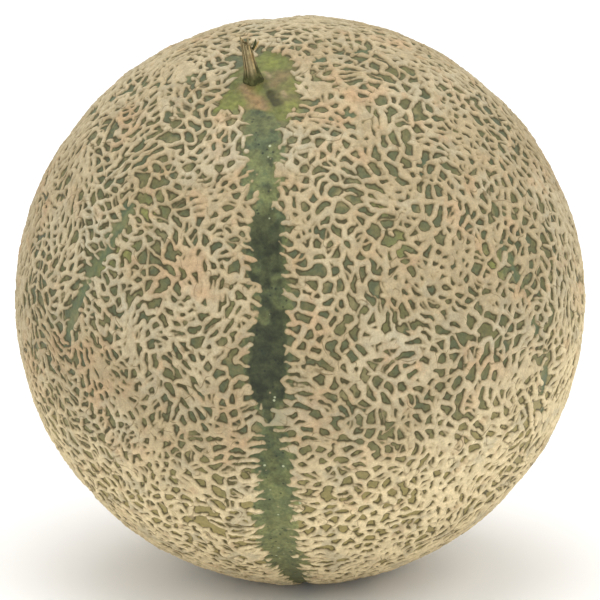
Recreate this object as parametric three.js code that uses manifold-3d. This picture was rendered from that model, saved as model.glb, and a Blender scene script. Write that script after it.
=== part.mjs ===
// A whole netted cantaloupe melon with the dried stub of its stem, lying on a small flat spot.
// Units are millimetres, +Z up. The origin is on the surface that the melon rests on, under the
// middle of the body.
//
// The body is shaped in the fruit's own frame, with the stem end on +Z and the main suture at
// azimuth 0, and is then leaned into the way it lies.
import * as THREE from "three";
import { mergeVertices } from "three/addons/utils/BufferGeometryUtils.js";
import Module from "manifold-3d";

const wasm = await Module();
wasm.setup();

// Body
const BODY_RADIUS = 75;
const REST_SPOT_RADIUS = 12; // the flat spot under the body
const BODY_COLUMNS = 72; // facets round the stem axis, 5 degrees each
const BODY_ROWS = 36; // facets from the stem end to the blossom end

// The way the melon lies, in degrees
const STEM_LEAN = 25.3; // how far the stem axis leans from straight up
const STEM_HEADING = -107.7; // the compass direction of that lean, counted from +X
const SUTURE_TURN = 15.3; // turn of the main suture about the stem axis

// Sutures: shallow grooves that run from the stem end to the blossom end
const SUTURE_HALF_WIDTH = 4.5;
const SUTURES = [
  { azimuth: 0, depth: 0.8 },
  { azimuth: 65, depth: 0.3 },
  { azimuth: 125, depth: 0.35 },
  { azimuth: 180, depth: 0.5 },
  { azimuth: -115, depth: 0.35 },
  { azimuth: -54, depth: 0.5 },
];
const SUTURE_DRIFT = 6.2; // degrees that every suture turns on its way down
const DRIFT_SPAN = [48, 108]; // degrees from the stem end where that turn begins and is complete
const STEM_FADE = [8, 30]; // the grooves deepen between these distances from the stem axis
const BLOSSOM_FADE = [35, 60]; // and are gone again between these angles from the blossom end

// Hollows at the two ends
const STEM_HOLLOW = { depth: 1.2, reach: 15 };
const BLOSSOM_HOLLOW = { depth: 0.8, reach: 9 };

// Stem stub
const STUB_LENGTH = 14.5;
const STUB_SINK = 2; // how far its drawn foot starts below the body's radius, before it is trimmed
const STUB_OFFSET = { x: -3.5, y: -2.7 }; // from the stem axis, across it
const STUB_TILT = { x: -0.012, y: -0.034 }; // sideways run of the stub per unit of its length
const STUB_DENT = 0.5; // how far the middle of its tip is sunk
const STUB_FLUTES = 5;
const STUB_FLUTE_DEPTH = 0.12; // share of the radius
const STUB_COLUMNS = 20;
const PIECE_GAP = 0.3; // between the stub and the body

const COLOURS = { rind: 0xb3a582, stub: 0x9c8a62 };

const radians = THREE.MathUtils.degToRad;

// From the fruit's own frame to the way it lies.
const lie = new THREE.Matrix4()
  .makeRotationZ(radians(STEM_HEADING))
  .multiply(new THREE.Matrix4().makeRotationY(radians(STEM_LEAN)))
  .multiply(new THREE.Matrix4().makeRotationZ(radians(SUTURE_TURN)));

// Height of the body's middle above the flat spot.
const bodyHeight = Math.sqrt(BODY_RADIUS ** 2 - REST_SPOT_RADIUS ** 2);

// A bell that is 1 at distance 0 and fades out over about twice the reach.
function bell(distance, reach) {
  return Math.exp(-((distance / reach) ** 2));
}

// How far the sutures have turned at this angle from the stem end, in radians.
function driftAt(polar) {
  const [start, end] = DRIFT_SPAN.map(radians);
  const share = THREE.MathUtils.clamp((polar - start) / (end - start), 0, 1);
  return -radians(SUTURE_DRIFT) * share;
}

// Distance from the body's middle to its surface. Azimuth is counted before the drift.
function bodyRadiusAt(polar, azimuth) {
  const ring = BODY_RADIUS * Math.sin(polar);
  const fromBlossom = Math.PI - polar;
  const fade =
    THREE.MathUtils.smoothstep(ring, ...STEM_FADE) *
    THREE.MathUtils.smoothstep(fromBlossom, ...BLOSSOM_FADE.map(radians));
  const grooves = SUTURES.map((suture) => {
    const turn = azimuth - radians(suture.azimuth);
    const apart = Math.abs(Math.atan2(Math.sin(turn), Math.cos(turn)));
    return suture.depth * fade * bell(ring * apart, SUTURE_HALF_WIDTH);
  });
  const stemHollow = STEM_HOLLOW.depth * bell(BODY_RADIUS * polar, STEM_HOLLOW.reach);
  const blossomHollow =
    BLOSSOM_HOLLOW.depth * bell(BODY_RADIUS * fromBlossom, BLOSSOM_HOLLOW.reach);
  return BODY_RADIUS - Math.max(...grooves) - stemHollow - blossomHollow;
}

// A closed geometry as a manifold-3d solid.
function solidOf(geometry) {
  const bare = geometry.clone();
  bare.deleteAttribute("normal");
  bare.deleteAttribute("uv");
  const merged = mergeVertices(bare);
  return new wasm.Manifold(
    new wasm.Mesh({
      numProp: 3,
      vertProperties: merged.attributes.position.array,
      triVerts: new Uint32Array(merged.index.array),
    }),
  );
}

// A manifold-3d solid as a three.js geometry.
function geometryOf(solid) {
  const { vertProperties, triVerts } = solid.getMesh();
  const geometry = new THREE.BufferGeometry();
  geometry.setAttribute("position", new THREE.BufferAttribute(vertProperties, 3));
  geometry.setIndex(new THREE.BufferAttribute(triVerts, 1));
  geometry.computeVertexNormals();
  return geometry;
}

// The whole body before its flat spot is cut, in the way it lies, round its own middle.
function bodyBlank() {
  const geometry = new THREE.SphereGeometry(BODY_RADIUS, BODY_COLUMNS, BODY_ROWS);
  geometry.rotateX(Math.PI / 2);
  const places = geometry.attributes.position;
  const point = new THREE.Vector3();
  for (let i = 0; i < places.count; i++) {
    point.fromBufferAttribute(places, i);
    const polar = Math.acos(THREE.MathUtils.clamp(point.z / BODY_RADIUS, -1, 1));
    const azimuth = Math.atan2(point.y, point.x);
    const turned = azimuth + driftAt(polar);
    const radius = bodyRadiusAt(polar, azimuth);
    const ring = radius * Math.sin(polar);
    places.setXYZ(i, ring * Math.cos(turned), ring * Math.sin(turned), radius * Math.cos(polar));
  }
  geometry.applyMatrix4(lie);
  return solidOf(geometry);
}

// A block whose top face is the plane of the flat spot.
function restBlock() {
  const side = 4 * REST_SPOT_RADIUS;
  const block = new THREE.BoxGeometry(side, side, side);
  block.translate(0, 0, -bodyHeight - side / 2);
  return solidOf(block);
}

// The stub: a fluted, tapering stalk, trimmed to sit over the body.
function stubBlank() {
  const foot = BODY_RADIUS - STUB_SINK;
  const top = STUB_LENGTH + STUB_SINK - STEM_HOLLOW.depth;
  const outline = [
    [0, 0],
    [3.0, 0],
    [2.4, 0.19 * top],
    [2.05, 0.32 * top],
    [1.7, 0.55 * top],
    [1.45, 0.8 * top],
    [1.35, top],
    [0, top - STUB_DENT],
  ].map(([radius, height]) => new THREE.Vector2(radius, height));
  const geometry = new THREE.LatheGeometry(outline, STUB_COLUMNS);
  geometry.rotateX(Math.PI / 2);
  const places = geometry.attributes.position;
  const point = new THREE.Vector3();
  for (let i = 0; i < places.count; i++) {
    point.fromBufferAttribute(places, i);
    const azimuth = Math.atan2(point.y, point.x);
    const flute = 1 - STUB_FLUTE_DEPTH * 0.5 * (1 - Math.cos(STUB_FLUTES * azimuth));
    places.setXYZ(
      i,
      STUB_OFFSET.x + point.x * flute + STUB_TILT.x * point.z,
      STUB_OFFSET.y + point.y * flute + STUB_TILT.y * point.z,
      foot + point.z,
    );
  }
  geometry.applyMatrix4(lie);
  return solidOf(geometry);
}

const blank = bodyBlank();
const body = blank.subtract(restBlock());
const clearance = 1 + PIECE_GAP / BODY_RADIUS;
const stub = stubBlank().subtract(blank.scale([clearance, clearance, clearance]));

const rindMaterial = new THREE.MeshStandardMaterial({
  color: COLOURS.rind,
  roughness: 0.75,
  metalness: 0,
});
const stubMaterial = new THREE.MeshStandardMaterial({
  color: COLOURS.stub,
  roughness: 0.9,
  metalness: 0,
});

const melonMesh = new THREE.Mesh(geometryOf(body), rindMaterial);
melonMesh.name = "melon";

const stubMesh = new THREE.Mesh(geometryOf(stub), stubMaterial);
stubMesh.name = "stem_stub";

const group = new THREE.Group();
group.add(melonMesh, stubMesh);
group.position.z = bodyHeight;

export default group;
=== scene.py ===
import math

import bmesh
import bpy
import numpy as np
from mathutils import Matrix, Vector, kdtree


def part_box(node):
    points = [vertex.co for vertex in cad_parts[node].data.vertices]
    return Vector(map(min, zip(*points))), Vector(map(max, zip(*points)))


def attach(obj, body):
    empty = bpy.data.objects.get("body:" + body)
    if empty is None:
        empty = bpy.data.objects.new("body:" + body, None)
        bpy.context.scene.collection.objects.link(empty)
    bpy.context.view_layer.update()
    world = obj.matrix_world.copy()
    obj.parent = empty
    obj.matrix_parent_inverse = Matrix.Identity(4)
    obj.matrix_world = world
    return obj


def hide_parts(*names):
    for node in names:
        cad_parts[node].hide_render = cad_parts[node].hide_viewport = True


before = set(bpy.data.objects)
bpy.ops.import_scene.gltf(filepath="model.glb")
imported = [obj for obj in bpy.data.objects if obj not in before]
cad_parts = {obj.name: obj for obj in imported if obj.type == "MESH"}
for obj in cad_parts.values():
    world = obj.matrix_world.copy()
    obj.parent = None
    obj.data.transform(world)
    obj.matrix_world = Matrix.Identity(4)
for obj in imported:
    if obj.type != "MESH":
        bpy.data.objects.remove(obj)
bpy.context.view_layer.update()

MM = 0.001

# Body, as in the CAD model: lengths in mm, angles in degrees
BODY_RADIUS = 75.0
REST_SPOT_RADIUS = 12.0
STEM_LEAN = 25.3
STEM_HEADING = -107.7
SUTURE_TURN = 15.3
GROOVE_HALF_WIDTH = 4.5
SUTURE_DRIFT = 6.2  # how far every suture turns on its way down
DRIFT_SPAN = (48.0, 108.0)  # angles from the stem end between which it turns
STEM_FADE = (8.0, 30.0)  # distances from the stem axis between which the grooves deepen
BLOSSOM_FADE = (35.0, 60.0)  # angles from the blossom end between which they deepen
STEM_HOLLOW = (1.2, 15.0)  # depth and reach
BLOSSOM_HOLLOW = (0.8, 9.0)

# Net, in mm
RIDGE_HEIGHT = 0.7
RIDGE_WIDTH = 1.28
RIDGE_WIDTH_SPREAD = 0.2
MISSING_WALLS = 0.035  # share of the walls with no ridge
BROKEN_WALLS = 0.085  # share of the walls whose ridge stops part of the way
SPUR_SHARE = 0.09  # how many of the walls have a spur at one end
RUNG_SHARE = 0.16  # how many of the walls have a thin rung at one end
RUNG_WIDTH = 0.55  # a rung's width as a share of a ridge's
SEED_GAP = 2.75  # distance between the middles of neighbouring meshes
SEED_GAP_SPREAD = 0.17
SEED_TRIES = 90000
EDGE_SAMPLES = 15  # points along one ridge
SCAR_TEETH = 2.2  # how far the longest teeth reach into the scar
BLOSSOM_RADIUS = 5.2  # reach of the corky button at the blossom end

# How wide the ridges and how large the meshes are round the fruit, by azimuth
RIDGE_FULLNESS = (
    (-180, 1.0), (-120, 1.05), (-60, 0.85), (-25, 0.97), (0, 1.0), (30, 1.02), (60, 1.1), (100, 1.08),
    (180, 1.0),
)
CELL_SIZE = (
    (-180, 1.0), (-120, 1.0), (-60, 0.9), (-20, 0.94), (20, 1.0), (90, 1.04), (180, 1.0),
)

# Mesh of the rind: six patches, as on a cube
FACE_CELLS = 380  # quads along each side of a patch
FACE_MARGIN = 8  # further quads outside each side, so that ridges cross the seams unbroken
NET_REACH = 6  # how many quads a ridge sample reaches to each side
OPEN_LIMIT = 1.2  # distances from a ridge are cut off here

# The sutures: where the net leaves a strip of smooth skin. Half widths are given by angle from the stem
# end, the raggedness is how far the strip's two edges wander, and the sway is how far its middle lies to
# the right of the groove.
# A tooth is a ridge's run past the strip's edge.
NO_SWAY = ((0, 0), (180, 0))
MAIN_STRIP = (
    (0, 3.0), (12, 4.2), (24, 4.8), (28, 3.6), (30, 1.8), (32, 4.2), (35, 4.4), (44, 4.6), (50, 4.0),
    (53, 4.6), (61, 5.3), (68, 4.9), (70.5, 2.4), (72.5, 1.2), (75.5, 1.6), (77, 2.4), (80, 4.2),
    (84, 4.8), (91, 4.6), (97, 5.2), (104, 4.8), (118, 4.9), (126, 4.4), (140, 3.0), (152, 0.5),
    (180, -2.0),
)
MAIN_SWAY = (
    (0, 0), (28, 0), (38, -0.9), (45, -1.1), (49, 0.4), (52, -0.3), (58, -1.1), (68, -1.6), (80, 0),
)
SUTURES = (
    {
        "azimuth": 0,
        "depth": 0.8,
        "ragged": 0.45,
        "teeth": ((0, 2.4), (28, 2.4), (34, 1.5), (69, 1.4), (78, 2.8), (180, 3.0)),
        "strip": MAIN_STRIP,
        "sway": MAIN_SWAY,
    },
    {
        "azimuth": 65,
        "depth": 0.3,
        "ragged": 1.0,
        "teeth": ((0, 1.2), (180, 1.2)),
        "strip": (
            (0, -2), (40, -0.8), (58, -0.9), (62, 0.0), (67, 0.0), (71, -0.9), (95, -0.9), (120, -3),
        ),
    },
    {
        "azimuth": 125,
        "depth": 0.35,
        "ragged": 1.1,
        "teeth": ((0, 1.2), (180, 1.2)),
        "strip": ((0, -2), (30, -0.4), (70, 0.3), (120, -1), (150, -4)),
    },
    {
        "azimuth": 180,
        "depth": 0.5,
        "ragged": 0.9,
        "teeth": ((0, 2.0), (180, 2.0)),
        "strip": ((0, -3), (36, -2.5), (46, 1.4), (60, 2.6), (95, 2.8), (125, 1.4), (150, -3)),
    },
    {
        "azimuth": -115,
        "depth": 0.35,
        "ragged": 1.0,
        "teeth": ((0, 1.6), (180, 1.6)),
        "strip": ((0, -2), (30, -0.6), (60, 1.0), (100, 0.6), (140, -3)),
    },
    {
        "azimuth": -54,
        "depth": 0.5,
        "ragged": 0.6,
        "teeth": ((0, 1.4), (180, 1.4)),
        "strip": (
            (0, -3), (35, -2.4), (38, 0.8), (46, 1.4), (49, 0.2), (51, 1.2), (58, 1.5), (60, 0.3),
            (63, 1.3), (66, 1.0), (69, -1.0), (95, -1.6), (150, -3),
        ),
    },
)

# The smooth scar round the stem: how far it reaches from the stem axis, by azimuth
SCAR = (
    (-180, 15.4), (-165, 14.4), (-149, 12.2), (-128, 10.8), (-97, 8.8), (-75, 11.5), (-61, 14.8),
    (-45, 11.0), (-20, 9.2), (0, 9.4), (14, 11.5), (27, 17.0), (40, 13.2), (55, 12.4), (75, 9.2),
    (95, 8.7), (131, 10.8), (158, 14.6), (180, 15.4),
)

# Stub
STUB_LENGTH = 14.5
STUB_PROFILE = (
    (-2.5, 3.2), (-1.2, 3.0), (0, 2.75), (1.0, 2.45), (2.0, 2.22), (3.4, 1.98), (5.0, 1.8), (8.0, 1.6),
    (11.5, 1.4), (14.5, 1.3),
)  # radius by height above the scar
STUB_OFFSET = (-3.5, -2.7)  # from the stem axis, across it
STUB_TILT = (-0.012, -0.034)  # sideways run per unit of height
STUB_FLUTES = 5
STUB_FLUTE_DEPTH = 0.12  # share of the radius
STUB_STRANDS = 11
STUB_COLUMNS = 120

# The rings that close the stub inside its tip: share of its height, and share of its radius
STUB_HOLLOW = [(1.0, 0.94), (0.98, 0.78), (0.94, 0.6), (0.9, 0.45), (0.87, 0.22), (0.86, 0.02)]

# How thick a loose fibre is along its length
FIBRE_THICKNESS = (
    (0, 0.02), (0.02, 0.7), (0.15, 1), (0.35, 0.95), (0.55, 0.8), (0.75, 0.6), (0.9, 0.35), (1, 0.02),
)
FIBRE_COLUMNS = 8


def srgb(*display):
    """A display colour from 0 to 255 as the linear colour that shaders take."""
    return tuple(((channel / 255 + 0.055) / 1.055) ** 2.4 for channel in display)


def smooth(value, start, end):
    """0 at start, 1 at end, with a smooth run between them."""
    share = np.clip((value - start) / (end - start), 0, 1)
    return share * share * (3 - 2 * share)


def along(value, stops):
    """A curve through (place, value) stops, with rounded corners."""
    places, values = np.array(stops, float).T
    fine = np.linspace(places[0], places[-1], 721)
    curve = np.interp(fine, places, values)
    kernel = np.hanning(9)
    curve = np.convolve(np.pad(curve, 4, mode="edge"), kernel / kernel.sum(), "valid")
    return np.interp(value, fine, curve)


def waves(points, size, seed, count=20):
    """Smooth noise of about unit size over points in mm, made of plane waves about size mm long."""
    rng = np.random.default_rng(seed)
    turns = rng.normal(size=(count, 3))
    turns *= (2 * np.pi / (size * rng.uniform(0.7, 1.4, count)) / np.linalg.norm(turns, axis=1))[:, None]
    phases = rng.uniform(0, 2 * np.pi, count)
    total = np.zeros(len(points))
    for turn, phase in zip(turns, phases):
        total += np.cos(points @ turn + phase)
    return total * math.sqrt(2 / count)


def swirled(points, size, amount, seed, steps=4, count=20):
    """Points carried along by eddies about size mm wide, which shear the net and don't thin it."""
    rng = np.random.default_rng(seed)
    turns = rng.normal(size=(count, 3))
    turns /= np.linalg.norm(turns, axis=1)[:, None]
    lengths = size * rng.uniform(0.7, 1.4, count)
    phases = rng.uniform(0, 2 * np.pi, count)
    for _ in range(steps):
        slope = np.zeros_like(points)
        for turn, length, phase in zip(turns, lengths, phases):
            slope += np.sin(points @ turn * (2 * np.pi / length) + phase)[:, None] * turn
        push = np.cross(points / BODY_RADIUS, slope) * math.sqrt(2 / count)
        points = on_body(points + push * (amount / steps)[:, None])
    return points


def on_body(points):
    """Points moved in or out to the radius of the body."""
    return points * (BODY_RADIUS / np.linalg.norm(points, axis=-1))[..., None]


def drift_at(polar):
    """How far the sutures have turned at this angle from the stem end, in radians."""
    start, end = np.radians(DRIFT_SPAN)
    return -math.radians(SUTURE_DRIFT) * np.clip((polar - start) / (end - start), 0, 1)


def places(points):
    """Angle from the stem end and azimuth before the drift, in radians."""
    polar = np.arccos(np.clip(points[:, 2] / BODY_RADIUS, -1, 1))
    azimuth = np.arctan2(points[:, 1], points[:, 0]) - drift_at(polar)
    return polar, azimuth


def wrapped(angle):
    return (angle + np.pi) % (2 * np.pi) - np.pi


def from_suture(polar, azimuth, suture):
    """Distance from the middle line of a suture in mm, positive to its right."""
    return BODY_RADIUS * np.sin(polar) * wrapped(azimuth - math.radians(suture["azimuth"]))


def base_radius(polar, azimuth):
    """The CAD model's surface: sphere, grooves and the hollows at the two ends."""
    ring = BODY_RADIUS * np.sin(polar)
    from_blossom = np.pi - polar
    fade = smooth(ring, *STEM_FADE) * smooth(np.degrees(from_blossom), *BLOSSOM_FADE)
    groove = np.zeros_like(polar)
    for suture in SUTURES:
        apart = from_suture(polar, azimuth, suture)
        groove = np.maximum(groove, suture["depth"] * fade * np.exp(-(apart / GROOVE_HALF_WIDTH) ** 2))
    stem = STEM_HOLLOW[0] * np.exp(-(BODY_RADIUS * polar / STEM_HOLLOW[1]) ** 2)
    blossom = BLOSSOM_HOLLOW[0] * np.exp(-(BODY_RADIUS * from_blossom / BLOSSOM_HOLLOW[1]) ** 2)
    return BODY_RADIUS - groove - stem - blossom


def strip_depths(points):
    """How far each point lies inside the smooth strip of each suture, in mm, negative outside."""
    polar, azimuth = places(points)
    wander = waves(points, 7.0, 11) + 0.6 * waves(points, 3.0, 12)
    depths = []
    for suture in SUTURES:
        half_width = along(np.degrees(polar), suture["strip"])
        sway = along(np.degrees(polar), suture.get("sway", NO_SWAY))
        apart = np.abs(from_suture(polar, azimuth, suture) - sway)
        depths.append(half_width + suture["ragged"] * wander - apart)
    return np.array(depths)


def scar_depth(points):
    """How far each point lies inside the scar round the stem, in mm, negative outside."""
    polar, azimuth = places(points)
    reach = along(np.degrees(wrapped(azimuth)), SCAR)
    return reach + 0.5 * waves(points, 4.0, 13) - BODY_RADIUS * polar


def blossom_depth(points):
    """How far each point lies inside the button at the blossom end, in mm, negative outside."""
    polar, _ = places(points)
    return BLOSSOM_RADIUS + 0.5 * waves(points, 6.0, 14) - BODY_RADIUS * (np.pi - polar)


# --- the net ---------------------------------------------------------------------------------------


def scattered_seeds(rng):
    """Points over the body that keep an uneven distance from each other."""
    tries = on_body(rng.normal(size=(SEED_TRIES, 3)))
    gaps = SEED_GAP * np.exp(SEED_GAP_SPREAD * rng.normal(size=SEED_TRIES))
    gaps *= 1 + 0.08 * waves(tries, 30.0, 21)
    polar, azimuth = places(tries)
    gaps *= along(np.degrees(wrapped(azimuth)), CELL_SIZE)
    before, after = stretch_table()
    later = np.interp(wrapped(azimuth), before, after)
    widened = np.interp(later, after, np.gradient(after, before))
    gaps *= (1 + (widened - 1) * np.sin(polar) ** 2) ** -0.45
    tree = kdtree.KDTree(SEED_TRIES)
    for index, point in enumerate(tries):
        tree.insert(point, index)
    tree.balance()
    crowded = np.zeros(SEED_TRIES, bool)
    kept = []
    for index in range(SEED_TRIES):
        if not crowded[index]:
            kept.append(index)
            for _, other, _ in tree.find_range(tries[index], gaps[index]):
                crowded[other] = True
    return tries[kept]


def cell_walls(seeds):
    """The walls between the seeds' cells: the two ends of each wall, and one seed beside it."""
    hull = bmesh.new()
    for seed in seeds:
        hull.verts.new(seed)
    bmesh.ops.convex_hull(hull, input=hull.verts)
    hull.normal_update()
    hull.faces.index_update()
    corners = np.array([face.normal for face in hull.faces])
    middles = np.array([face.calc_center_median() for face in hull.faces])
    corners *= np.sign((corners * middles).sum(axis=1))[:, None]
    pairs, beside = [], []
    for edge in hull.edges:
        if len(edge.link_faces) == 2:
            pairs.append([face.index for face in edge.link_faces])
            beside.append(edge.verts[0].co[:])
    hull.free()
    ends = on_body(corners)[np.array(pairs)]
    return ends[:, 0], ends[:, 1], np.array(beside)


def stretch_table():
    """Azimuths before and after the cells beside the sutures are widened."""
    after = np.linspace(-np.pi, np.pi, 3601)
    stretch = np.ones_like(after)
    for suture in SUTURES:
        apart = BODY_RADIUS * wrapped(after - math.radians(suture["azimuth"]))
        stretch += 2.3 * suture["depth"] * np.exp(-(apart / 14) ** 2)
    before = np.concatenate([[0], np.cumsum(2 / (stretch[1:] + stretch[:-1]))])
    return before / before[-1] * 2 * np.pi - np.pi, after


def grown(points):
    """Points of the even net moved to where growth has pulled them."""
    polar, azimuth = places(points)
    before, after = stretch_table()
    azimuth = wrapped(azimuth)
    pulled = np.interp(azimuth, before, after)
    azimuth = azimuth + (pulled - azimuth) * np.sin(polar) ** 2 + drift_at(polar)
    ring = np.sin(polar)
    points = BODY_RADIUS * np.stack([ring * np.cos(azimuth), ring * np.sin(azimuth), np.cos(polar)], 1)
    calm = 1 - 0.6 * np.exp(-(from_suture(*places(points), SUTURES[0]) / 12) ** 2)
    points = swirled(points, 25.0, 2.9 * calm, 31)
    points = swirled(points, 10.0, 0.45 * calm, 32)
    push = 0.2 * np.stack([waves(points, 4.5, seed) for seed in (34, 35, 36)], 1)
    push += 0.1 * np.stack([waves(points, 1.8, seed) for seed in (37, 38, 39)], 1)
    return on_body(points + push)


def ridge_ends(rng):
    """Where each ridge starts, what it heads for, the share of that it grows, and which are rungs."""
    starts, ends, beside = cell_walls(scattered_seeds(rng))
    count = len(starts)

    # Some walls stop part of the way, and a few are missing.
    fate = rng.random(count)
    broken = fate < MISSING_WALLS + BROKEN_WALLS
    reach = np.where(broken, rng.uniform(0.3, 0.7, count), 1.0)
    reach[fate < MISSING_WALLS] = 0.0
    swap = rng.random(count)[:, None] < 0.5
    starts, ends = np.where(swap, ends, starts), np.where(swap, starts, ends)
    kept = reach > 0
    starts, ends, beside, reach = starts[kept], ends[kept], beside[kept], reach[kept]

    # From some corners a spur grows into the mesh, and from others a thin rung grows right across it.
    chance = rng.random(len(starts))
    spurs = np.flatnonzero(chance < SPUR_SHARE)
    rungs = np.flatnonzero(chance > 1 - RUNG_SHARE)
    lean = rng.uniform(-0.35, 0.35, (len(rungs), 1))
    aim = beside[rungs] + lean * (ends[rungs] - starts[rungs])
    far = starts[rungs] + rng.uniform(1.6, 2.0, (len(rungs), 1)) * (aim - starts[rungs])
    ends = np.concatenate([ends, beside[spurs], far])
    starts = np.concatenate([starts, starts[spurs], starts[rungs]])
    reach = np.concatenate([reach, rng.uniform(0.3, 0.6, len(spurs)), np.ones(len(rungs))])
    is_rung = np.arange(len(starts)) >= len(starts) - len(rungs)
    return starts, ends, reach, is_rung


def ridge_lines(starts, ends, reach):
    """Points along the ridges, one row for each ridge."""
    run = np.linspace(0, 1, EDGE_SAMPLES)[None, :, None] * reach[:, None, None]
    lines = starts[:, None] * (1 - run) + ends[:, None] * run
    return grown(on_body(lines.reshape(-1, 3))).reshape(len(starts), EDGE_SAMPLES, 3)


def ridge_widths(points, reach, is_rung, rng):
    """The width of each ridge at each of its points, one row for each ridge."""
    width = RIDGE_WIDTH * np.exp(RIDGE_WIDTH_SPREAD * rng.normal(size=len(reach)))
    width[is_rung] *= RUNG_WIDTH
    stops = (reach < 1)[:, None]
    width = width[:, None] * np.where(stops, 0.85, 1.0)
    taper = 1 - 0.45 * stops * np.linspace(0, 1, EDGE_SAMPLES)[None] ** 2
    _, azimuth = places(points)
    fuller = along(np.degrees(wrapped(azimuth)), RIDGE_FULLNESS)
    fuller = fuller * (1 + 0.12 * waves(points, 11.0, 41)) * (1 + 0.12 * waves(points, 2.6, 42))
    return width * taper * fuller.reshape(len(reach), -1)


def smooth_depth(points):
    """How far each point lies inside smooth skin, and how far a tooth of the net may reach into it."""
    polar, _ = places(points)
    strips = strip_depths(points)
    teeth = np.array([along(np.degrees(polar), suture["teeth"]) for suture in SUTURES])
    own_teeth = np.take_along_axis(teeth, strips.argmax(axis=0)[None], 0)[0]
    depth = strips.max(axis=0)
    scar = scar_depth(points)
    longest = np.where(scar > depth, SCAR_TEETH, own_teeth)
    return np.maximum(np.maximum(depth, scar), blossom_depth(points)), longest


def ridge_samples():
    """Points along every ridge of the net, and the half width of the ridge at each."""
    rng = np.random.default_rng(7)
    starts, ends, reach, is_rung = ridge_ends(rng)
    count = len(starts)
    lines = ridge_lines(starts, ends, reach)
    points = lines.reshape(-1, 3)
    width = ridge_widths(points, reach, is_rung, rng)

    # The net is cut off at the sutures and the scar, in teeth where a ridge runs across the edge.
    depth, longest = smooth_depth(points)
    depth = depth.reshape(count, -1)
    longest = longest.reshape(count, -1)[:, 0]
    length = np.linalg.norm(lines[:, -1] - lines[:, 0], axis=1) + 1e-6
    across = np.abs(depth[:, -1] - depth[:, 0]) / length > 0.5
    tooth = longest * rng.uniform(0.0, 1.0, count)
    tooth = np.where(across, tooth, rng.uniform(-1.6, -0.3, count))
    left = tooth[:, None] - depth
    near = (depth > -1.5) & across[:, None]
    width = np.where(near, width * np.clip(0.35 + 0.45 * left, 0.4, 1), width)
    keep = (left > 0).ravel()
    return points[keep], 0.5 * width.ravel()[keep]


def extra_samples():
    """Cork dots in the smooth strips and the ring of cork round the blossom end."""
    rng = np.random.default_rng(8)
    dots = on_body(rng.normal(size=(900, 3)))
    dots = dots[strip_depths(dots).max(axis=0) > 0.8]
    sizes = rng.uniform(0.22, 0.36, len(dots))
    turn = np.linspace(0, 2 * np.pi, 160, endpoint=False)
    ring = 5.6 + 0.5 * np.sin(3 * turn + 1) + 0.25 * np.sin(7 * turn)
    polar = np.pi - ring / BODY_RADIUS
    circle = BODY_RADIUS * np.stack(
        [np.sin(polar) * np.cos(turn), np.sin(polar) * np.sin(turn), np.cos(polar)], 1
    )
    return np.concatenate([dots, circle]), np.concatenate([sizes, 0.9 + 0.15 * np.sin(5 * turn)])


# --- the rind's surface ----------------------------------------------------------------------------


PATCHES = (
    ((1, 0, 0), (0, 1, 0), (0, 0, 1)),
    ((-1, 0, 0), (0, 0, 1), (0, 1, 0)),
    ((0, 1, 0), (0, 0, 1), (1, 0, 0)),
    ((0, -1, 0), (1, 0, 0), (0, 0, 1)),
    ((0, 0, 1), (1, 0, 0), (0, 1, 0)),
    ((0, 0, -1), (0, 1, 0), (1, 0, 0)),
)


def patch_grid(patch):
    """The points of one padded patch of the body, as a square array."""
    step = np.pi / 2 / FACE_CELLS
    turns = np.tan((np.arange(FACE_CELLS + 1 + 2 * FACE_MARGIN) - FACE_MARGIN) * step - np.pi / 4)
    middle, across, up = np.array(patch, float)
    grid = middle + turns[:, None, None] * across + turns[None, :, None] * up
    return on_body(grid)


def net_distance(patch, grid, points, half_widths):
    """Distance of each grid point from the nearest ridge's edge, negative on the ridge."""
    middle, across, up = np.array(patch, float)
    step = np.pi / 2 / FACE_CELLS
    ahead = points @ middle
    side = len(grid)
    column = np.rint((np.arctan2(points @ across, ahead) + np.pi / 4) / step).astype(int) + FACE_MARGIN
    row = np.rint((np.arctan2(points @ up, ahead) + np.pi / 4) / step).astype(int) + FACE_MARGIN
    fits = (ahead > 0) & (column >= NET_REACH) & (column < side - NET_REACH)
    fits &= (row >= NET_REACH) & (row < side - NET_REACH)
    column, row, points, half_widths = column[fits], row[fits], points[fits], half_widths[fits]
    flat = grid.reshape(-1, 3)
    nearest = np.full(side * side, OPEN_LIMIT)
    for over in range(-NET_REACH, NET_REACH + 1):
        for along_row in range(-NET_REACH, NET_REACH + 1):
            spot = (column + over) * side + row + along_row
            distance = np.linalg.norm(flat[spot] - points, axis=1) - half_widths
            np.minimum.at(nearest, spot, distance)
    return nearest.reshape(side, side)


def rind_grid():
    """Points, quads, map corners and ridge distances of the whole rind, with the patches joined."""
    points, half_widths = ridge_samples()
    more_points, more_widths = extra_samples()
    points = np.concatenate([points, more_points])
    half_widths = np.concatenate([half_widths, more_widths])
    inner = slice(FACE_MARGIN, FACE_MARGIN + FACE_CELLS + 1)
    all_points, all_net = [], []
    for patch in PATCHES:
        grid = patch_grid(patch)
        net = net_distance(patch, grid, points, half_widths)
        all_points.append(grid[inner, inner].reshape(-1, 3))
        all_net.append(net[inner, inner].ravel())
    all_points = np.concatenate(all_points)
    all_net = np.concatenate(all_net)

    keys = np.rint((all_points / BODY_RADIUS + 1) * 500000).astype(np.int64)
    keys = (keys[:, 0] << 42) + (keys[:, 1] << 21) + keys[:, 2]
    _, first, joined = np.unique(keys, return_index=True, return_inverse=True)
    net = np.bincount(joined, all_net) / np.bincount(joined)

    side = FACE_CELLS + 1
    column, row = np.meshgrid(np.arange(FACE_CELLS), np.arange(FACE_CELLS), indexing="ij")
    corner = (column * side + row).ravel()
    quad = np.stack([corner, corner + side, corner + side + 1, corner + 1], 1)
    quads = np.concatenate([joined[quad + patch * side * side] for patch in range(len(PATCHES))])
    return all_points[first], quads, net, quad


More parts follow.
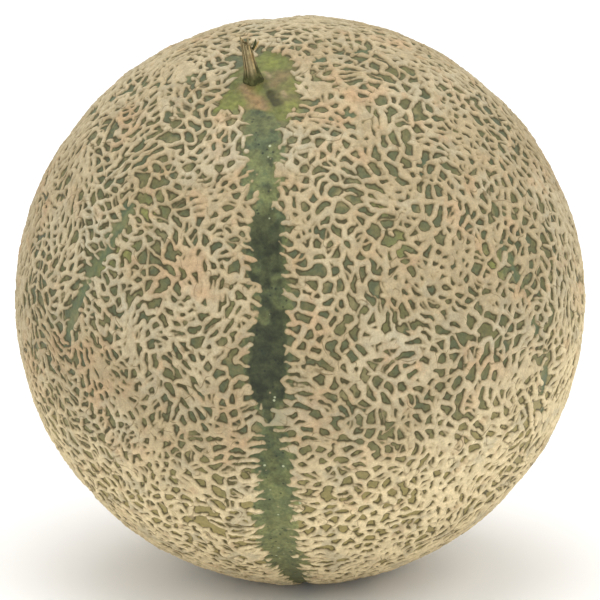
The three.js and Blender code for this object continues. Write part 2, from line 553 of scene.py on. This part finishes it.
def map_corners(quad):
    """Where each quad's corners lie on the flat map: the six patches in three columns and two rows."""
    side = FACE_CELLS + 1
    border = 3  # quads left free round each patch
    across = (quad // side + border) / (FACE_CELLS + 2 * border)
    up = (quad % side + border) / (FACE_CELLS + 2 * border)
    corners = []
    for patch in range(len(PATCHES)):
        corners.append(np.stack([(across + patch % 3) / 3, (up + patch // 3) / 2], -1))
    return np.concatenate(corners).reshape(-1, 2)


def relaxed(values, quads, amount):
    """Values on the points of a quad mesh, each moved towards the mean of its neighbours."""
    ones = quads.ravel()
    others = np.roll(quads, -1, axis=1).ravel()
    count = np.bincount(ones, minlength=len(values)) + np.bincount(others, minlength=len(values))
    total = np.bincount(ones, values[others], len(values))
    total += np.bincount(others, values[ones], len(values))
    return values + amount * (total / count - values)


def lie_matrix():
    """From the fruit's own frame in mm to the row's frame in metres."""
    low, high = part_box("melon")
    lift = math.sqrt(BODY_RADIUS**2 - REST_SPOT_RADIUS**2)
    middle = Vector(((low.x + high.x) / 2, (low.y + high.y) / 2, low.z + lift * MM))
    middle.x = round(middle.x, 4)
    middle.y = round(middle.y, 4)
    turn = (
        Matrix.Rotation(math.radians(STEM_HEADING), 4, "Z")
        @ Matrix.Rotation(math.radians(STEM_LEAN), 4, "Y")
        @ Matrix.Rotation(math.radians(SUTURE_TURN), 4, "Z")
    )
    return Matrix.Translation(middle) @ turn @ Matrix.Scale(MM, 4)


def laid(points, matrix):
    matrix = np.array(matrix)
    return points @ matrix[:3, :3].T + matrix[:3, 3]


def mesh_object(name, points, quads, corners=None, values=None):
    """A smooth mesh object made from arrays."""
    mesh = bpy.data.meshes.new(name)
    sides = quads.shape[1]
    mesh.vertices.add(len(points))
    mesh.vertices.foreach_set("co", np.ascontiguousarray(points, np.float32).ravel())
    mesh.loops.add(quads.size)
    mesh.loops.foreach_set("vertex_index", np.ascontiguousarray(quads, np.int32).ravel())
    mesh.polygons.add(len(quads))
    mesh.polygons.foreach_set("loop_start", np.arange(0, quads.size, sides, dtype=np.int32))
    mesh.update(calc_edges=True)
    if corners is not None:
        layer = mesh.uv_layers.new(name="OFBake")
        layer.data.foreach_set("uv", np.ascontiguousarray(corners, np.float32).ravel())
    for label, value in (values or {}).items():
        attribute = mesh.attributes.new(label, "FLOAT", "POINT")
        attribute.data.foreach_set("value", np.ascontiguousarray(value, np.float32))
    mesh.validate()
    mesh.shade_smooth()
    piece = bpy.data.objects.new(name, mesh)
    bpy.context.scene.collection.objects.link(piece)
    return piece


# Darkness of the skin in the main suture, by angle from the stem end
MAIN_TONE = (
    (0, 0.3), (12, 0.45), (17, 0.35), (22, 0.12), (26, 0.12), (29, 0.35), (33, 0.75), (37, 0.9),
    (44, 1.0), (46.5, 0.6), (50.5, 0.5), (53, 0.95), (70, 1.0), (76, 0.55), (86, 0.4), (91, 0.1),
    (104, 0.1), (112, 0.25), (126, 0.45), (180, 0.4),
)

# Spots of yellower skin: angle from the stem end, azimuth, and reach in mm
FRESH_SPOTS = (
    (36, -46, 4.0), (45, -47, 3.5), (50, -52, 3.0), (47, 36, 3.0), (38, 41, 3.5), (46, 41, 2.5),
    (62, 60, 4.0), (50, -150, 4.0), (80, 150, 5.0), (70, -90, 4.0),
)

# Spots of yellower skin on the scar: place across the stem axis, and reach
SCAR_FRESH = ((5.5, -8.5, 4.0), (1.0, 9.0, 3.0), (9.0, 7.5, 3.0), (-10.0, 2.0, 3.5))

# Dark streaks on the scar: the two ends across the stem axis, half width, and strength
DARK_STREAKS = (
    ((2.8, 1.9), (7.2, 3.7), 1.3, 1.0),
    ((-2.6, -0.8), (2.4, 1.8), 1.5, 0.3),
)
FLUSH = (
    ((-0.5, -5.2), (8.6, 0.0), 1.7, 1.0),
    ((-1.0, 3.0), (-4.0, 5.0), 1.6, 0.4),
)
FLECKS = (
    ((3.2, 4.9), (4.4, 5.8), 0.9, 1.0),
    ((-5.6, 0.0), (-4.2, 1.4), 0.8, 1.0),
)

# The grey patch of cork that bridges the main suture: angle from the stem end and its reach in degrees,
# and its reach across in mm
CORK_PATCH = (73.5, 2.6, 3.2)


def fresh_patches(points):
    """How far the skin is yellow-green: spots between the sutures, and the edges of the scar."""
    share = np.zeros(len(points))
    for polar, azimuth, reach in FRESH_SPOTS:
        polar, azimuth = math.radians(polar), math.radians(azimuth)
        turned = azimuth + drift_at(polar)
        ring = math.sin(polar)
        middle = np.array([ring * math.cos(turned), ring * math.sin(turned), math.cos(polar)])
        apart = np.linalg.norm(points - BODY_RADIUS * middle, axis=1)
        share = np.maximum(share, np.exp(-(apart / reach) ** 2))
    for x, y, reach in SCAR_FRESH:
        apart = np.hypot(points[:, 0] - x, points[:, 1] - y)
        share = np.maximum(share, np.exp(-(apart / reach) ** 2) * (points[:, 2] > 0))
    return share


def streaks(points, made):
    """How far the scar is tinted by soft streaks."""
    flat = points[:, :2] + 0.25 * np.stack([waves(points, 4.0, seed) for seed in (58, 59)], 1)
    tint = np.zeros(len(points))
    for start, end, half_width, strength in made:
        start, end = np.array(start, float), np.array(end, float)
        run = end - start
        share = np.clip((flat - start) @ run / (run @ run), 0, 1)
        apart = np.linalg.norm(flat - start - share[:, None] * run, axis=1)
        tint = np.maximum(tint, strength * np.exp(-(apart / half_width) ** 2))
    return tint * (points[:, 2] > 0)


def raised(points, net, in_scar, button):
    """Points moved out to the rind's real surface: ridges, scar and button on the uneven body."""
    top = smooth(-net, -0.25, 0.4)
    height = RIDGE_HEIGHT * (1 + 0.1 * waves(points, 9.0, 51)) * top
    height += 0.05 * waves(points, 1.7, 52) * top
    height += in_scar * (0.25 + 0.09 * waves(points, 2.4, 53))
    height += button * (0.3 + 0.2 * waves(points, 1.6, 54))
    unevenness = 0.1 * waves(points, 45.0, 55) - 0.1
    radius = base_radius(*places(points)) + unevenness - RIDGE_HEIGHT + height
    return points * (radius / BODY_RADIUS)[:, None]


def rind_shares(points, net, in_scar, button):
    """What the rind's material needs to know at each point, by attribute name."""
    polar, azimuth = places(points)
    angle = np.degrees(polar)
    strips = strip_depths(points)
    side = from_suture(polar, azimuth, SUTURES[0])
    main = smooth(strips[0] + 0.5 * waves(points, 2.5, 56), -2.4, 0.4)
    tone = along(angle + 2.0 * waves(points, 5.0, 57), MAIN_TONE)
    patch_angle, patch_height, patch_width = CORK_PATCH
    return {
        "net": net,
        "main": main,
        "tone": tone * smooth(strips[0], -2.0, 1.0),
        "side": main * smooth(side, 0.0, 4.5),
        "other": smooth(strips[1:].max(axis=0), -1.6, 0.4),
        "scar": in_scar,
        "blossom": button,
        # low: paler and yellower towards the bottom, partly the ground spot's own colour and partly
        # painted light standing in for bounce from the floor
        "low": smooth(angle, 66, 112),
        "fresh": fresh_patches(points),
        "dark_streak": streaks(points, DARK_STREAKS),
        "fleck": streaks(points, FLECKS),
        "flush": streaks(points, FLUSH),
        "patch": np.exp(-((angle - patch_angle) / patch_height) ** 2 - (side / patch_width) ** 2),
    }


def build_rind(matrix):
    points, quads, net, quad = rind_grid()
    net = relaxed(net, quads, 0.7)
    in_scar = smooth(scar_depth(points), -0.4, 0.8)
    button = smooth(blossom_depth(points), -0.5, 1.5)
    shaped = laid(raised(points, relaxed(net, quads, 0.8), in_scar, button), matrix)
    shaped[:, 2] = np.maximum(shaped[:, 2], 0)
    values = rind_shares(points, net, in_scar, button)
    return mesh_object("melon_rind", shaped, quads, map_corners(quad), values)


# --- materials -------------------------------------------------------------------------------------


class Paint:
    """A node material that is built up one node at a time."""

    def __init__(self, name):
        self.material = bpy.data.materials.new(name)
        self.material.use_nodes = True
        self.tree = self.material.node_tree
        self.tree.nodes.clear()
        output = self.tree.nodes.new("ShaderNodeOutputMaterial")
        self.shader = self.tree.nodes.new("ShaderNodeBsdfPrincipled")
        self.tree.links.new(self.shader.outputs[0], output.inputs["Surface"])
        self.place = self.tree.nodes.new("ShaderNodeTexCoord").outputs["Object"]

    def feed(self, socket, value):
        if isinstance(value, bpy.types.NodeSocket):
            self.tree.links.new(value, socket)
        elif socket.type == "RGBA":
            socket.default_value = (*value, 1) if len(value) == 3 else value
        else:
            socket.default_value = value

    def attribute(self, name):
        node = self.tree.nodes.new("ShaderNodeAttribute")
        node.attribute_name = name
        return node.outputs["Fac"]

    def noise(self, size, detail, seed):
        """Noise with features about size mm across."""
        node = self.tree.nodes.new("ShaderNodeTexNoise")
        node.noise_dimensions = "4D"
        self.feed(node.inputs["Vector"], self.place)
        node.inputs["W"].default_value = seed
        node.inputs["Scale"].default_value = 1 / (size * MM)
        node.inputs["Detail"].default_value = detail
        node.inputs["Roughness"].default_value = 0.5
        node.inputs["Distortion"].default_value = 0.0
        return node.outputs["Fac"]

    def spots(self, size, seed):
        """Distance to the nearest of many scattered points, in units of size mm."""
        node = self.tree.nodes.new("ShaderNodeTexVoronoi")
        node.voronoi_dimensions = "4D"
        self.feed(node.inputs["Vector"], self.place)
        node.inputs["W"].default_value = seed
        node.inputs["Scale"].default_value = 1 / (size * MM)
        return node.outputs["Distance"]

    def ramp(self, value, start, end, low=0.0, high=1.0):
        node = self.tree.nodes.new("ShaderNodeMapRange")
        node.interpolation_type = "SMOOTHSTEP"
        names = ("Value", "From Min", "From Max", "To Min", "To Max")
        for name, setting in zip(names, (value, start, end, low, high)):
            self.feed(node.inputs[name], setting)
        return node.outputs["Result"]

    def maths(self, operation, one, other):
        node = self.tree.nodes.new("ShaderNodeMath")
        node.operation = operation
        self.feed(node.inputs[0], one)
        self.feed(node.inputs[1], other)
        return node.outputs[0]

    def mix(self, share, one, other):
        node = self.tree.nodes.new("ShaderNodeMix")
        node.data_type = "RGBA"
        self.feed(node.inputs[0], share)
        self.feed(node.inputs[6], one)
        self.feed(node.inputs[7], other)
        return node.outputs[2]

    def blotched(self, size, detail, seed, edges, one, other):
        """Two colours in blotches about size mm across."""
        return self.mix(self.ramp(self.noise(size, detail, seed), *edges), one, other)

    def lit(self, colour, amount):
        """The colour made brighter or darker by a factor."""
        node = self.tree.nodes.new("ShaderNodeVectorMath")
        node.operation = "SCALE"
        self.feed(node.inputs[0], colour)
        self.feed(node.inputs["Scale"], amount)
        return node.outputs[0]

    def bump(self, height, depth):
        """A normal from a height of 0 to 1 that stands for depth mm."""
        node = self.tree.nodes.new("ShaderNodeBump")
        node.inputs["Strength"].default_value = 1.0
        node.inputs["Distance"].default_value = depth * MM
        self.feed(node.inputs["Height"], height)
        return node.outputs[0]

    def finish(self, colour, roughness, normal):
        self.feed(self.shader.inputs["Base Color"], colour)
        self.feed(self.shader.inputs["Roughness"], roughness)
        self.feed(self.shader.inputs["Normal"], normal)
        self.shader.inputs["Specular IOR Level"].default_value = 0.25
        return self.material


def cork_colour(paint, net):
    """The cork of the net."""
    cork = paint.blotched(26, 2, 1, (0.42, 0.6), srgb(175, 161, 130), srgb(164, 148, 116))
    cork = paint.mix(paint.ramp(paint.noise(14, 3, 2), 0.54, 0.68, 0, 0.6), cork, srgb(176, 146, 112))
    cork = paint.mix(paint.ramp(paint.noise(19, 3, 3), 0.55, 0.7, 0, 0.6), cork, srgb(170, 164, 140))
    # Paler, yellower cork towards the bottom: partly the ground spot's own colour, partly painted light
    # standing in for bounce from the floor.
    cork = paint.mix(paint.ramp(paint.attribute("low"), 0, 1, 0, 0.9), cork, srgb(214, 196, 156))
    cork = paint.mix(paint.ramp(paint.noise(7, 3, 26), 0.54, 0.64, 0, 0.5), cork, srgb(162, 154, 129))
    cork = paint.mix(paint.ramp(paint.noise(6, 3, 27), 0.56, 0.68, 0, 0.45), cork, srgb(174, 144, 109))
    cork = paint.lit(cork, paint.ramp(paint.noise(2.2, 3, 4), 0.3, 0.7, 0.88, 1.15))
    from_crack = paint.maths("ABSOLUTE", paint.maths("SUBTRACT", paint.noise(4.2, 0, 25), 0.5), 0)
    line = paint.ramp(from_crack, 0.024, 0.006, 0, 0.65)
    crack = paint.maths("MULTIPLY", line, paint.ramp(paint.noise(5, 2, 28), 0.48, 0.6))
    cork = paint.mix(crack, cork, srgb(104, 90, 60))
    cork = paint.lit(cork, paint.ramp(paint.noise(0.5, 2, 5), 0.25, 0.75, 0.86, 1.1))
    # Cork darker towards the ridges' edges: partly a browner edge, partly painted shade where the ridge
    # slopes down to the skin.
    cork = paint.mix(paint.ramp(net, -0.4, 0.05, 0, 0.55), cork, srgb(142, 126, 90))
    return paint.mix(paint.attribute("patch"), cork, srgb(146, 142, 116))


def mesh_skin_colour(paint, net):
    """The skin in the meshes of the net and along the paler sutures."""
    skin = paint.blotched(6, 3, 6, (0.38, 0.62), srgb(98, 95, 60), srgb(82, 88, 62))
    skin = paint.mix(paint.ramp(paint.noise(16, 2, 7), 0.54, 0.7, 0, 0.6), skin, srgb(112, 110, 68))
    skin = paint.mix(paint.ramp(paint.noise(5, 3, 21), 0.52, 0.66, 0, 0.7), skin, srgb(132, 122, 84))
    skin = paint.mix(paint.maths("MULTIPLY", paint.attribute("fresh"), 0.7), skin, srgb(130, 130, 70))
    # Paler, yellower skin towards the bottom: partly the ground spot's own colour, partly painted light
    # standing in for bounce from the floor.
    skin = paint.mix(paint.ramp(paint.attribute("low"), 0, 1, 0, 0.9), skin, srgb(150, 136, 86))
    skin = paint.lit(skin, paint.ramp(paint.noise(0.9, 3, 17), 0.3, 0.7, 0.86, 1.14))
    # Skin dark brown beside the ridges: partly browner skin at their foot, partly painted shade in the
    # recess between ridge and skin.
    uneven = paint.maths("ADD", net, paint.ramp(paint.noise(1.5, 2, 14), 0.3, 0.7, -0.3, 0.25))
    skin = paint.mix(paint.ramp(uneven, 0.4, 0.08, 0, 0.85), skin, srgb(70, 62, 36))
    groove = paint.blotched(3.5, 3, 23, (0.4, 0.6), srgb(84, 96, 70), srgb(106, 110, 74))
    groove = paint.lit(groove, paint.ramp(paint.noise(1.1, 3, 24), 0.3, 0.7, 0.82, 1.14))
    return paint.mix(paint.maths("MULTIPLY", paint.attribute("other"), 0.85), skin, groove)


def main_suture_colour(paint):
    """The smooth skin of the main suture."""
    pale = paint.blotched(4, 3, 8, (0.4, 0.62), srgb(112, 116, 72), srgb(88, 98, 66))
    # Paler suture skin towards the bottom: partly the ground spot's own colour, partly painted light
    # standing in for bounce from the floor.
    pale = paint.mix(paint.ramp(paint.attribute("low"), 0.4, 1, 0, 0.5), pale, srgb(128, 130, 84))
    dark = paint.blotched(3, 4, 9, (0.38, 0.62), srgb(38, 43, 26), srgb(56, 61, 38))
    dark = paint.mix(paint.ramp(paint.attribute("side"), 0.5, 1.2, 0, 0.6), dark, srgb(84, 90, 54))
    band = paint.mix(paint.attribute("tone"), pale, dark)
    band = paint.lit(band, paint.ramp(paint.noise(0.8, 3, 18), 0.3, 0.7, 0.82, 1.18))
    band = paint.lit(band, paint.ramp(paint.noise(2.2, 2, 22), 0.35, 0.65, 0.8, 1.16))
    band = paint.mix(paint.ramp(paint.noise(2.6, 2, 19), 0.6, 0.72, 0, 0.6), band, srgb(40, 48, 34))
    band = paint.mix(paint.ramp(paint.spots(1.6, 3), 0.3, 0.14, 0, 0.8), band, srgb(30, 36, 26))
    return paint.mix(paint.ramp(paint.spots(2.4, 9), 0.2, 0.1, 0, 0.8), band, srgb(176, 180, 146))


def scar_colour(paint):
    """The scar round the stem."""
    scar = paint.blotched(7, 2, 10, (0.42, 0.6), srgb(101, 105, 55), srgb(110, 102, 63))
    scar = paint.mix(paint.ramp(paint.noise(5, 3, 11), 0.54, 0.7, 0, 0.5), scar, srgb(132, 114, 78))
    scar = paint.mix(paint.maths("MULTIPLY", paint.attribute("fresh"), 0.8), scar, srgb(120, 124, 58))
    scar = paint.mix(paint.maths("MULTIPLY", paint.attribute("flush"), 0.8), scar, srgb(144, 117, 82))
    # A dark streak running from the stub's foot across the scar.
    scar = paint.mix(paint.ramp(paint.attribute("dark_streak"), 0.0, 0.75), scar, srgb(60, 58, 22))
    scar = paint.mix(paint.maths("MULTIPLY", paint.attribute("fleck"), 0.7), scar, srgb(158, 140, 104))
    return paint.lit(scar, paint.ramp(paint.noise(1.4, 3, 20), 0.3, 0.7, 0.68, 1.14))


def rind_material():
    paint = Paint("netted_rind")
    net = paint.attribute("net")
    in_main = paint.ramp(paint.attribute("main"), 0.3, 0.9)
    skin = paint.mix(in_main, mesh_skin_colour(paint, net), main_suture_colour(paint))
    colour = paint.mix(paint.ramp(net, -0.14, 0.14), cork_colour(paint, net), skin)
    open_scar = paint.maths("MULTIPLY", paint.attribute("scar"), paint.ramp(net, -0.1, 0.1))
    colour = paint.mix(open_scar, colour, scar_colour(paint))
    button = paint.maths("MULTIPLY", paint.attribute("blossom"), 0.85)
    colour = paint.mix(button, colour, srgb(134, 108, 72))
    roughness = paint.ramp(net, -0.1, 0.15, 0.88, 0.5)
    coarse_grain = paint.maths("MULTIPLY", paint.noise(1.6, 2, 13), 0.8)
    grain = paint.maths("ADD", paint.noise(0.55, 2, 12), coarse_grain)
    return paint.finish(colour, roughness, paint.bump(grain, 0.07))


def floor_material():
    paint = Paint("studio_floor")
    colour = paint.blotched(900, 1, 1, (0.3, 0.7), (0.93, 0.93, 0.925), (0.95, 0.95, 0.945))
    paint.feed(paint.shader.inputs["Base Color"], colour)
    paint.shader.inputs["Roughness"].default_value = 0.9
    return paint.material


# --- stub ------------------------------------------------------------------------------------------


def stub_material():
    paint = Paint("dry_stalk")
    up = paint.attribute("up")
    strand = paint.attribute("strand")
    straw = paint.mix(paint.ramp(strand, 0.15, 0.8), srgb(84, 74, 46), srgb(166, 151, 112))
    straw = paint.mix(paint.ramp(strand, 0.95, 1.2), straw, srgb(178, 150, 98))
    straw = paint.mix(paint.ramp(strand, 0.1, -0.2), straw, srgb(58, 64, 34))
    straw = paint.mix(paint.ramp(paint.noise(2.2, 3, 2), 0.5, 0.68, 0, 0.6), straw, srgb(122, 98, 58))
    green = paint.blotched(1.6, 2, 3, (0.4, 0.6), srgb(60, 62, 32), srgb(88, 88, 52))
    # Dark green at the stub's foot, and higher up on its shaded side as painted shade.
    colour = paint.mix(paint.ramp(up, 0.32, 0.06), straw, green)
    colour = paint.lit(colour, paint.ramp(paint.noise(0.6, 2, 4), 0.3, 0.7, 0.85, 1.15))
    return paint.finish(colour, 0.8, paint.bump(paint.noise(0.5, 2, 5), 0.1))


def stub_path(height):
    """Middle of the stub at heights above the scar, in the fruit's own frame."""
    x = STUB_OFFSET[0] + STUB_TILT[0] * height
    y = STUB_OFFSET[1] + STUB_TILT[1] * height
    return np.stack([x, y, BODY_RADIUS - STEM_HOLLOW[0] + height], -1)


def stub_body():
    """The hollow, fluted stalk with its ragged tip: points, quads, heights (lowered by painted shade on
    one side) and strand tones.
    """
    turn = np.linspace(0, 2 * np.pi, STUB_COLUMNS, endpoint=False)
    circle = 3.0 * np.stack([np.cos(turn), np.sin(turn), 0 * turn], 1)
    strands = 0.5 * np.cos(STUB_STRANDS * turn + 1.5 * waves(circle, 6.0, 65))
    strands += 0.35 * waves(circle, 1.3, 64)
    tip = 11.7 + 1.4 * np.cos(turn + math.radians(80)) + 0.8 * strands + 0.4 * waves(circle, 1.1, 62)
    # Painted shade: the stub's dark green foot is drawn further up on its shaded side.
    painted_shade_side = 0.22 * np.clip(np.sin(turn - 0.2), 0, 1) ** 2
    outer = [(share, 1.0) for share in np.linspace(-0.1, 1.0, 70)[:-1]]
    rings, up, strand = [], [], []
    for share, squeeze in outer + STUB_HOLLOW:
        height = share * tip
        flutes = 1 - STUB_FLUTE_DEPTH * (0.5 - 0.5 * np.cos(STUB_FLUTES * turn + 0.05 * height))
        relief = 0.2 * np.clip(height / 4 + 0.4, 0.3, 1) * strands
        radius = (along(height, STUB_PROFILE) * flutes + relief) * squeeze
        ring = np.stack([radius * np.cos(turn), radius * np.sin(turn), 0 * turn], 1)
        rings.append(stub_path(height) + ring)
        up.append(np.clip(height / STUB_LENGTH - painted_shade_side, 0, 1))
        strand.append(0.5 + 0.5 * strands)
    points = np.concatenate(rings)
    return points, tube_quads(len(rings), STUB_COLUMNS), np.concatenate(up), np.concatenate(strand)


def tube_quads(rings, columns):
    """Quads between neighbouring rings of points."""
    around = np.arange(columns)
    onward = (around + 1) % columns
    quads = []
    for level in range(rings - 1):
        low = level * columns
        high = low + columns
        quads.append(np.stack([low + around, low + onward, high + onward, high + around], 1))
    return np.concatenate(quads)


def fibre(start, end, bow, radius, tone):
    """A loose pointed fibre at the stub's tip: points, quads, heights and strand tones."""
    start, end, bow = (np.array(place, float) for place in (start, end, bow))
    turn = np.linspace(0, 2 * np.pi, FIBRE_COLUMNS, endpoint=False)
    rings = []
    for share, thickness in FIBRE_THICKNESS:
        height = start[2] + share * (end[2] - start[2])
        middle = stub_path(np.array(height))
        middle[:2] += start[:2] + share * (end[:2] - start[:2]) + bow * 4 * share * (1 - share)
        ring = np.stack([np.cos(turn), np.sin(turn), 0.3 * np.sin(turn)], 1) * radius * thickness
        rings.append(middle + ring)
    points = np.concatenate(rings)
    level = np.full(len(points), start[2] / STUB_LENGTH)
    return points, tube_quads(len(rings), FIBRE_COLUMNS), level, np.full(len(points), tone)


# Loose fibres at the tip: start and end as x, y and height round the stub's middle, sideways bow,
# radius, and tone from dark green below 0 to orange above 1
FIBRES = (
    ((-0.2, 1.0, 8.6), (-0.4, 2.7, 12.4), (0, 0.3), 0.5, -0.3),
    ((0.0, 1.5, 9.0), (-0.1, 3.5, 12.1), (0, 0.3), 0.34, 1.3),
    ((-0.3, -1.0, 9.6), (-0.2, -0.9, 13.4), (0, -0.1), 0.5, 1.1),
    ((0.9, 0.2, 9.8), (1.2, 0.5, 12.5), (0.1, 0), 0.38, 0.3),
    ((-0.7, 0.4, 10.0), (-1.2, 0.6, 12.8), (-0.1, 0), 0.34, 0.8),
)


def build_stub(matrix):
    points, quads, up, strand = [], [], [], []
    placed = 0
    for its_points, its_quads, its_up, its_strand in [stub_body()] + [fibre(*row) for row in FIBRES]:
        quads.append(its_quads + placed)
        placed += len(its_points)
        points.append(its_points)
        up.append(its_up)
        strand.append(its_strand)
    values = {"up": np.concatenate(up), "strand": np.concatenate(strand)}
    points = laid(np.concatenate(points), matrix)
    return mesh_object("stem_stub_fibres", points, np.concatenate(quads), None, values)


# --- stage -----------------------------------------------------------------------------------------


FLOOR_SIZE = 30
CAMERA_ELEVATION = 16  # degrees above the horizon
CAMERA_LENS = 1000  # mm: a long lens from far away, for a nearly flat perspective
CAMERA_DISTANCE = 4.3806
WORLD_STRENGTH = 0.85

# Area lights: name, place round the origin in metres, side in metres, and watts
LIGHTS = (
    ("key", (0.9, -0.6, 1.0), 0.9, 5.5),
    ("side", (-1.1, -0.5, 0.7), 0.9, 2.6),
    ("top", (-0.15, 0.1, 1.6), 1.4, 12.5),
    ("low", (0.1, -1.2, 0.12), 0.8, 3.0),
)


def build_floor():
    bpy.ops.mesh.primitive_plane_add(size=FLOOR_SIZE)
    floor = bpy.context.object
    floor.name = "floor"
    floor.data.materials.append(floor_material())


def build_camera(middle):
    camera = bpy.data.objects.new("camera", bpy.data.cameras.new("camera"))
    camera.data.lens = CAMERA_LENS
    camera.data.sensor_width = 36
    camera.data.clip_start = 0.05
    tilt = math.radians(CAMERA_ELEVATION)
    camera.location = middle + CAMERA_DISTANCE * Vector((0, -math.cos(tilt), math.sin(tilt)))
    camera.rotation_euler = (math.radians(90 - CAMERA_ELEVATION), 0, 0)
    bpy.context.scene.collection.objects.link(camera)
    bpy.context.scene.camera = camera


def build_lights(middle):
    for name, place, size, power in LIGHTS:
        light = bpy.data.objects.new(name, bpy.data.lights.new(name, "AREA"))
        light.data.size = size
        light.data.energy = power
        light.location = place
        light.rotation_euler = (middle - Vector(place)).to_track_quat("-Z", "Y").to_euler()
        bpy.context.scene.collection.objects.link(light)

    world = bpy.data.worlds.new("studio")
    world.use_nodes = True
    background = world.node_tree.nodes["Background"]
    background.inputs["Color"].default_value = (1, 1, 1, 1)
    background.inputs["Strength"].default_value = WORLD_STRENGTH
    bpy.context.scene.world = world
    bpy.context.scene.view_settings.view_transform = "Standard"


lie = lie_matrix()
build_floor()
build_camera(lie.translation)
build_lights(lie.translation)

rind = build_rind(lie)
rind.data.materials.append(rind_material())
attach(rind, "root")
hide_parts("melon")

stub = build_stub(lie)
stub.data.materials.append(stub_material())
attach(stub, "root")
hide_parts("stem_stub")
